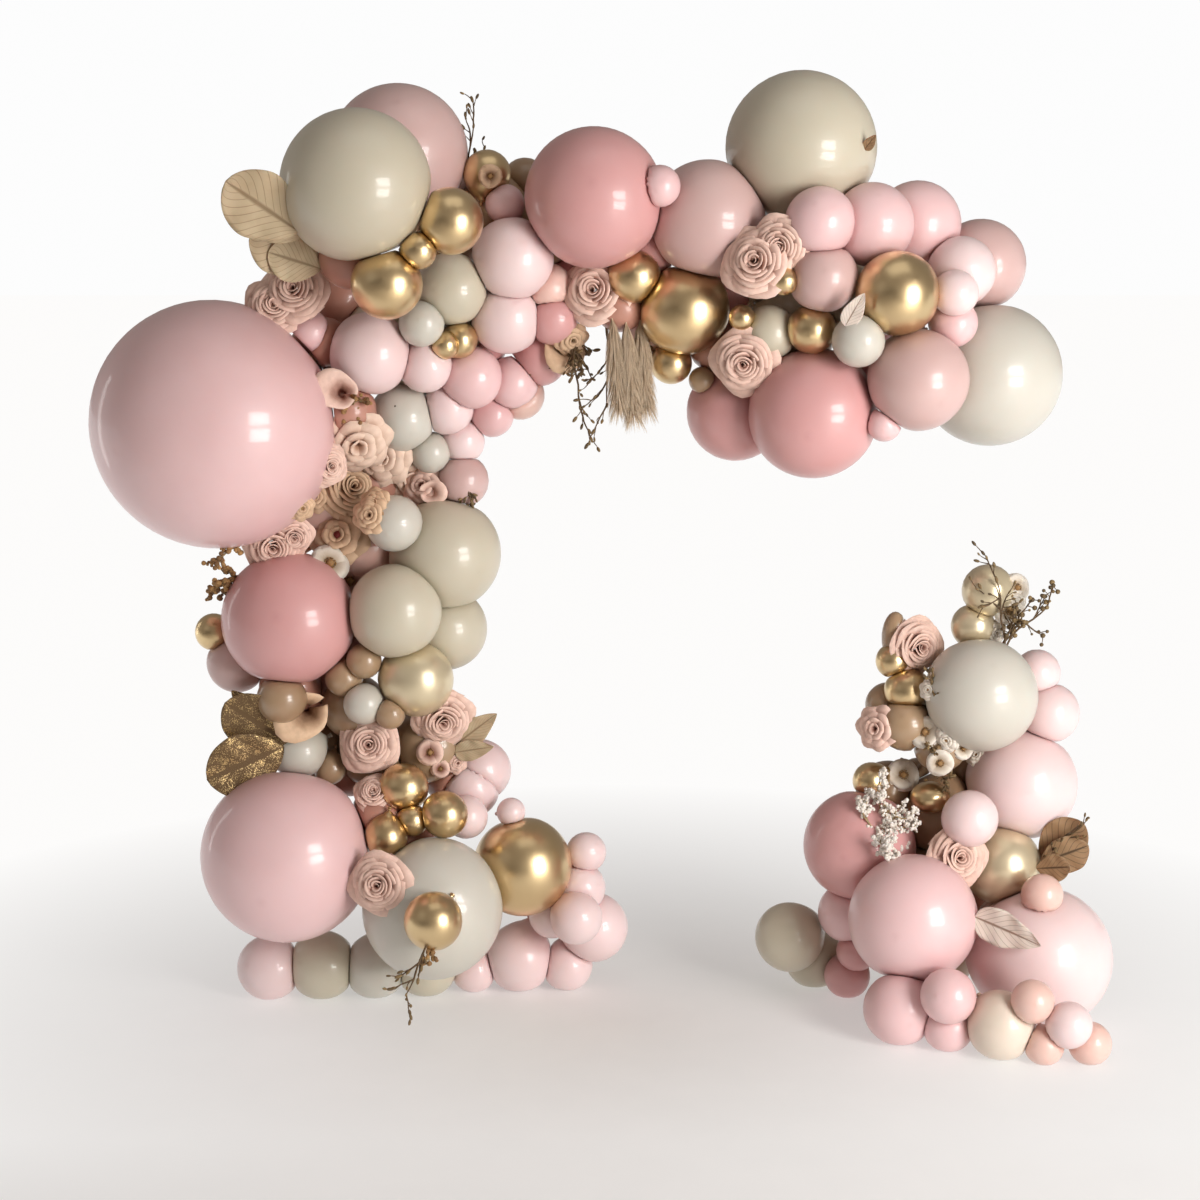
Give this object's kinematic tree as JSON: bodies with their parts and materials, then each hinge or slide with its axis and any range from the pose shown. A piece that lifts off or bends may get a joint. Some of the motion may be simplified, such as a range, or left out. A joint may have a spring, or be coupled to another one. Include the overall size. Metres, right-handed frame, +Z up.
{
  "type": "balloon arch",
  "caption": "Organic garland balloon arch in pink, cream and gold with paper roses: an arch that runs from floor to top, and a lower side column.",
  "frame": {"origin": "middle of the base of the box around both lengths, on the floor", "axes": "+X to the right along the arch as seen from the front, +Y back to the backdrop, +Z up"},
  "size_m": [2.0708, 0.5854, 1.9345],
  "materials": {
    "blush": "glossy blush-pink latex",
    "rose": "glossy rose-pink latex",
    "pale": "glossy pale pink latex",
    "mauve": "glossy dusty pink latex",
    "peach": "glossy peach latex",
    "cream": "glossy sand-cream latex",
    "white": "glossy off-white latex",
    "pearl": "pearl-gold latex",
    "taupe": "glossy taupe latex",
    "gold": "satin chrome-gold latex",
    "paper": "dusty pink folded paper"
  },
  "bodies": {
    "root": {"balloon_blush_left_foot": "blush", "balloons_cream_floor": "cream", "balloons_pale_left_foot": "pale", "balloon_gold_left_foot": "gold", "balloon_cream_left_foot": "cream", "balloon_gold_foot_front": "gold", "balloons_pale_foot_top": "pale", "balloon_white_left_foot": "white", "balloons_gold_foot": "gold", "balloons_taupe_waist": "taupe", "balloons_cream_column": "cream", "balloon_pearl_column": "pearl", "balloons_rose_column": "rose", "balloons_peach_column_back": "peach", "balloon_blush_giant": "blush", "balloons_white_column": "white", "balloons_blush_corner": "blush", "balloons_cream_corner": "cream", "balloons_taupe_top_back": "taupe", "balloon_mauve_top_left": "mauve", "balloon_cream_top_left": "cream", "balloons_pale_corner": "pale", "balloons_gold_corner": "gold", "balloons_pale_top": "pale", "balloon_rose_top": "rose", "balloon_mauve_top_middle": "mauve", "balloons_rose_span": "rose", "balloons_gold_middle": "gold", "balloons_cream_span": "cream", "balloon_cream_top_right": "cream", "balloon_white_end": "white", "balloons_mauve_end": "mauve", "balloons_blush_row": "blush", "balloon_gold_span": "gold", "balloon_mauve_span": "mauve", "balloon_gold_span_small": "gold", "balloon_white_span": "white", "roses_corner": "paper", "roses_column": "paper", "rose_waist_left": "paper", "rose_waist_right": "paper", "rose_foot": "paper", "rose_middle": "paper", "roses_span": "paper", "rose_span_low": "paper", "balloon_pale_right_giant": "pale", "balloons_cream_right_foot": "cream", "balloons_taupe_right_back": "taupe", "balloons_rose_right": "rose", "balloon_mauve_right": "mauve", "balloon_white_right": "white", "balloon_pearl_right": "pearl", "balloon_blush_right": "blush", "balloons_blush_right_foot": "blush", "balloons_peach_right_foot": "peach", "balloon_pale_right_small": "pale", "balloons_pale_right_side": "pale", "balloons_gold_right_tip": "gold", "balloons_pearl_tip": "pearl", "rose_right": "paper"}
  },
  "joints": []
}
